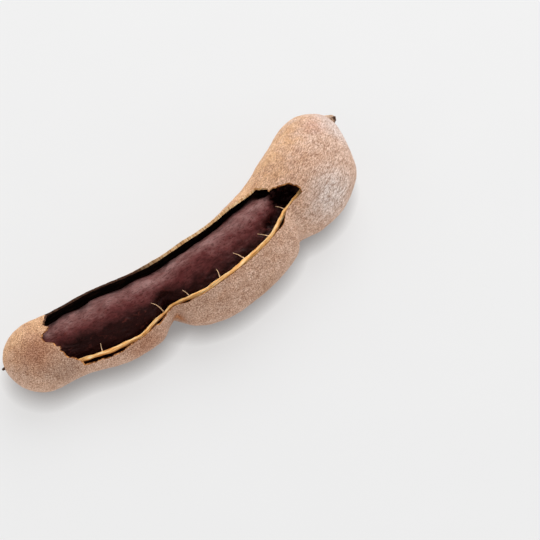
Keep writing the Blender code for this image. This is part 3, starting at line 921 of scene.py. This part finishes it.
def build_pulp():
    """The paste, with lumps all over, folds on the side that shows, and hollows."""
    rows = stations(PULP_END_RINGS, PULP_MIDDLE_RINGS)
    turns = 2 * np.pi * np.arange(PULP_COLUMNS) / PULP_COLUMNS
    station, angle = (a.ravel() for a in np.meshgrid(rows, turns, indexing="ij"))
    base = pulp_surface(station, angle, 0.0, PULP_END_GAP)
    normals = surface_normals(pulp_surface, station, angle, 0.0, PULP_END_GAP)
    degrees = degrees_from_top(angle)
    grown = grown_place(station, angle)
    smeared = grown * np.array([0.45, 1.0, 1.0]) + 0.9 * np.stack([noise(grown, 5.0, 30)] * 3, -1)
    folded = np.clip((degrees + 22) / 20, 0, 1) * np.clip((100 - degrees) / 30, 0, 1)
    lumps = 0.32 * noise(grown, 6.5, 34) + 0.15 * noise(grown, 2.8, 35)
    folds = folded * (0.28 * (ridges(smeared, 1.9, 32) - 0.75) + 0.16 * noise(smeared, 0.9, 33))
    crumb = 0.045 * noise(grown, 0.8, 36)
    relief = lumps + folds + crumb - 0.08
    hollow = np.zeros_like(relief)
    for s, d, long, wide, deep in PULP_HOLLOWS:
        away = np.hypot((station - s) / long, (degrees - d) * (HOLLOW_RADIUS * np.pi / 180) / wide)
        hollow = np.maximum(hollow, deep * np.exp(-away ** 2) * (1 + 0.4 * noise(grown, 1.5, 38)))
    relief = np.minimum(relief, RELIEF_LIMIT) - hollow
    base = base + normals * relief[..., None]
    first = pulp_surface(np.array([0.0]), np.array([0.0]), 0.0, PULP_END_GAP)
    last = pulp_surface(np.array([LENGTH]), np.array([0.0]), 0.0, PULP_END_GAP)
    points = np.vstack([base, first, last])
    faces = grid_triangles(len(rows), PULP_COLUMNS, len(points) - 2, len(points) - 1)
    pulp = make_piece("pulp_flesh", points, faces.tolist(), [pulp_material()],
                      grown=np.vstack([grown, grown_place(0.0, 0.0), grown_place(LENGTH, 0.0)]),
                      side=np.concatenate([np.sin(angle), [0.0, 0.0]]),
                      sunken=np.concatenate([np.clip(hollow / SUNKEN_FULL, 0, 1), [0.0, 0.0]]))
    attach(pulp, "root")
    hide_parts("pulp")


# ----------------------------------------------------------------------------------------
# Vein and rootlets
# ----------------------------------------------------------------------------------------

VEIN_RINGS = 620
VEIN_WANDER = 0.14
# The vein's painted shade spreads over these distances
VEIN_SHADE = (0.5, 0.6)    # distance from the strand's middle to its full light and dark, by end
HAIR_BEND = 0.25
HAIR_TAPER = 0.6           # share of a rootlet's radius lost by its tip

# Rootlets: distance along the pod where each leaves the vein, how far it runs along the pod,
# across it and up, and its radius
ROOTLETS = [(26.0, 0.6, 2.7, 1.1, 0.15), (47.0, -2.6, 3.0, 3.5, 0.17), (55.0, -1.2, 2.4, 1.5, 0.15),
            (64.3, 1.0, 3.6, 0.8, 0.17), (73.6, -1.8, 4.3, 0.5, 0.18), (83.0, -2.2, 3.2, 0.4, 0.16),
            (92.6, -1.2, 2.9, 0.7, 0.15)]


def vein_point(distance):
    """The middle of the vein at distances along the pod."""
    distance = np.asarray(distance, float)
    middle, _, outward = spine_frame(distance)
    offset = profile([(s, side) for s, side, _ in VEIN_PATH], distance)
    height = profile([(s, up) for s, _, up in VEIN_PATH], distance)
    point = middle + outward * offset[..., None]
    point[..., 2] = height
    return point


def build_vein():
    """The twisted strand, and the fine rootlets that grow from it as a second piece."""
    first = VEIN_PATH[0][0]
    last = VEIN_PATH[-1][0]
    distance = np.linspace(first, last, VEIN_RINGS)
    path = vein_point(distance)
    path = path + VEIN_WANDER * shake(path, 5.0, 41, 42, 43)
    radii = profile(VEIN_RADIUS, distance) * (1 + 0.16 * noise(path, 2.6, 44))

    def fibres(turn, at):
        twist = turn + 0.06 * at
        return (1 + 0.10 * np.sin(5 * twist) + 0.06 * np.sin(9 * twist + 1.0 + 0.3 * at)
                + 0.05 * math.sin(at * 1.7))

    points, faces, grown, share = rod(path, radii, 30, fibres)
    run = running_length(path)
    middle = along(path, run, share * run[-1])
    outward = spine_frame(first + share * (last - first))[2]
    # How far each point lies down and toward the near side, which sets the vein's painted shade
    fall = (points - middle) @ np.array([0.0, 0.0, -0.8]) + 0.6 * ((points - middle) * outward).sum(1)
    vein = make_piece("vein_strand", points, faces.tolist(), [vein_material()], grown=grown,
                      low=np.clip(0.5 + 0.5 * fall / np.interp(share, [0, 1], VEIN_SHADE), 0.0, 1.0))
    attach(vein, "root")
    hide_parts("vein")

    hairs = []
    for number, (root, run, across, up, radius) in enumerate(ROOTLETS):
        _, forward, outward = spine_frame(root)
        base = vein_point(root)
        reach = forward * run - outward * across
        lift = np.array([0.0, 0.0, up])
        knots = [base, base + reach * 0.35 + lift * 0.62, base + reach * 0.7 + lift * 0.95,
                 base + reach + lift]
        line = through(knots, 12)
        bend = shake(line, 1.6, 50 + number, 60 + number, 70 + number) * np.array([1.0, 1.0, 0.5])
        grow = np.linspace(0, 1, len(line))
        line = line + HAIR_BEND * bend * grow[:, None]
        hairs.append(rod(line, radius * (1 - HAIR_TAPER * grow), 10))
    points, faces, grown, _ = joined(hairs)
    rootlets = make_piece("rootlets", points, faces.tolist(), [rootlet_material()], grown=grown)
    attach(rootlets, "root")


# ----------------------------------------------------------------------------------------
# Stalk
# ----------------------------------------------------------------------------------------

BARK_ROUGHNESS = 0.10


def build_stalk():
    """The broken stub of the fruit stalk."""
    _, forward, outward = spine_frame(LENGTH)
    end = pod_point(LENGTH, 0.0)
    line = through([end + forward * f + outward * o + np.array([0.0, 0.0, up])
                    for f, o, up in STALK_PATH], 14)
    run = running_length(line)
    radii = profile(STALK_RADIUS, run)

    def bark(turn, at):
        return (1 + 0.07 * np.sin(4 * turn + 0.4 * at) + 0.05 * np.sin(7 * turn + 2.0)
                + 0.05 * math.sin(at * 3.1))

    points, faces, grown, share = rod(line, radii, 40, bark)
    points = points + BARK_ROUGHNESS * shake(points, 0.8, 81, 82, 83)
    stalk = make_piece("stalk_stub", points, faces.tolist(), [stalk_material()], grown=grown, along=share)
    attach(stalk, "root")
    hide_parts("stalk")


# ----------------------------------------------------------------------------------------
# Setting
# ----------------------------------------------------------------------------------------

# The studio is bright low down all round and dim overhead, by the upward part of the direction
HORIZON_STRENGTH = 1.25
ZENITH_STRENGTH = 0.26
HORIZON_TOP = 0.40
ZENITH_START = 0.80
FLOOR_HALF_WIDTH = 1500.0
# Painted light: the floor's own glow, which also lights the pod from below, and the reach of its painted
# contact shadow
FLOOR_GLOW = 0.59
CONTACT_REACH = 6.5        # how far from the pod its contact shadow reaches
# The one soft light, which stands behind the pod
KEY_TARGET = (0.0, 0.0, 10.0)
KEY_AZIMUTH = VIEW_AZIMUTH + 168.0
KEY_ELEVATION = 46.0
KEY_DISTANCE = 1000.0
KEY_WIDTH = 1000.0
KEY_POWER = 7.2


def build_light():
    data = bpy.data.lights.new("key", "AREA")
    data.shape = "DISK"
    data.size = KEY_WIDTH * MM
    data.energy = KEY_POWER
    light = bpy.data.objects.new("key", data)
    light.matrix_world = look_from(KEY_TARGET, KEY_AZIMUTH, KEY_ELEVATION, KEY_DISTANCE)
    bpy.context.scene.collection.objects.link(light)


def build_setting():
    """Floor, studio surroundings and light."""
    half = FLOOR_HALF_WIDTH
    points = np.array([(-half, -half, 0.0), (half, -half, 0.0), (half, half, 0.0), (-half, half, 0.0)])
    floor = make_piece("floor", points, [(0, 1, 2, 3)], [floor_material()], smooth=False, grown=points)
    world = bpy.data.worlds.new("studio")
    world.use_nodes = True
    tree = world.node_tree
    direction = tree.nodes.new("ShaderNodeTexCoord").outputs["Generated"]
    split = tree.nodes.new("ShaderNodeSeparateXYZ")
    tree.links.new(direction, split.inputs["Vector"])
    fade = tree.nodes.new("ShaderNodeMapRange")
    fade.inputs["From Min"].default_value = HORIZON_TOP
    fade.inputs["From Max"].default_value = ZENITH_START
    fade.inputs["To Min"].default_value = HORIZON_STRENGTH
    fade.inputs["To Max"].default_value = ZENITH_STRENGTH
    tree.links.new(split.outputs["Z"], fade.inputs["Value"])
    tree.links.new(fade.outputs["Result"], tree.nodes["Background"].inputs["Strength"])
    tree.nodes["Background"].inputs["Color"].default_value = (1.0, 1.0, 1.0, 1.0)
    bpy.context.scene.world = world
    build_light()
    bpy.context.scene.view_settings.view_transform = "Standard"


build_setting()
build_husk()
build_style()
build_pulp()
build_vein()
build_stalk()
